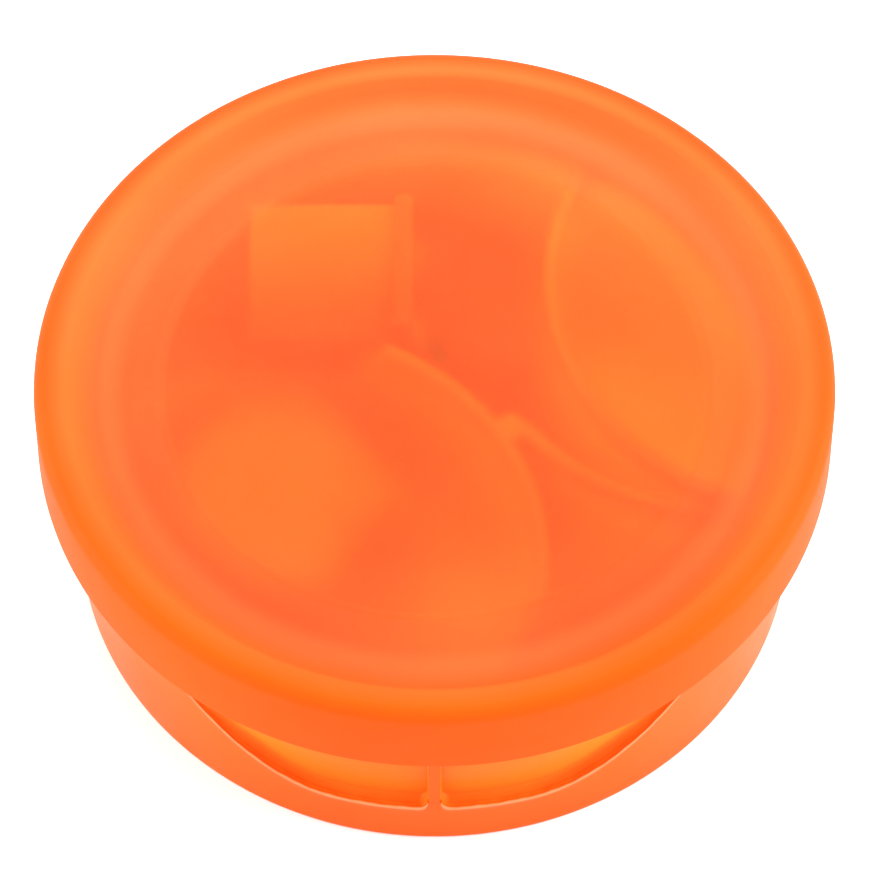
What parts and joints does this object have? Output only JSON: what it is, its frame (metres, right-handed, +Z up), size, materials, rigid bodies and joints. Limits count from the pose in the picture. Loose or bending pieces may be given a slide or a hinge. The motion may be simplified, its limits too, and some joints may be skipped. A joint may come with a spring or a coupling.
{
  "type": "pill splitter",
  "caption": "Round frosted pocket pill splitter: hinged lid with an inner blade closing on a V-shaped pill seat, over a divided pill tray with a front thumb recess.",
  "frame": {"origin": "centre of the round base, on the flat underside it rests on", "axes": "+Z up through the lid, -Y towards the thumb recesses at the front, +Y towards the hinge"},
  "size_m": [0.0806, 0.0838, 0.0298],
  "materials": {
    "frosted_shell": "frosted translucent orange polypropylene, satin, with a glossier skirt and lip",
    "tray_plastic": "the same orange polypropylene, a little less frosted",
    "soft_grip": "matte orange elastomer, softer and deeper in colour than the shells",
    "steel": "ground stainless steel"
  },
  "bodies": {
    "base": {"base_shell": "frosted_shell", "compartment_tray": "tray_plastic", "pill_seat": "tray_plastic", "pill_grip_left": "soft_grip", "pill_grip_right": "soft_grip", "hinge_pin": "steel"},
    "lid": {"lid_shell": "frosted_shell", "blade": "steel", "blade_holder": "tray_plastic", "blade_screw_front": "steel", "blade_screw_rear": "steel"}
  },
  "joints": [
    {"name": "lid_hinge", "type": "hinge", "parent": "base", "child": "lid", "pos_m": [0, 0.0408, 0.0183], "axis": [-1, 0, 0], "range_deg": [0, 120]}
  ]
}
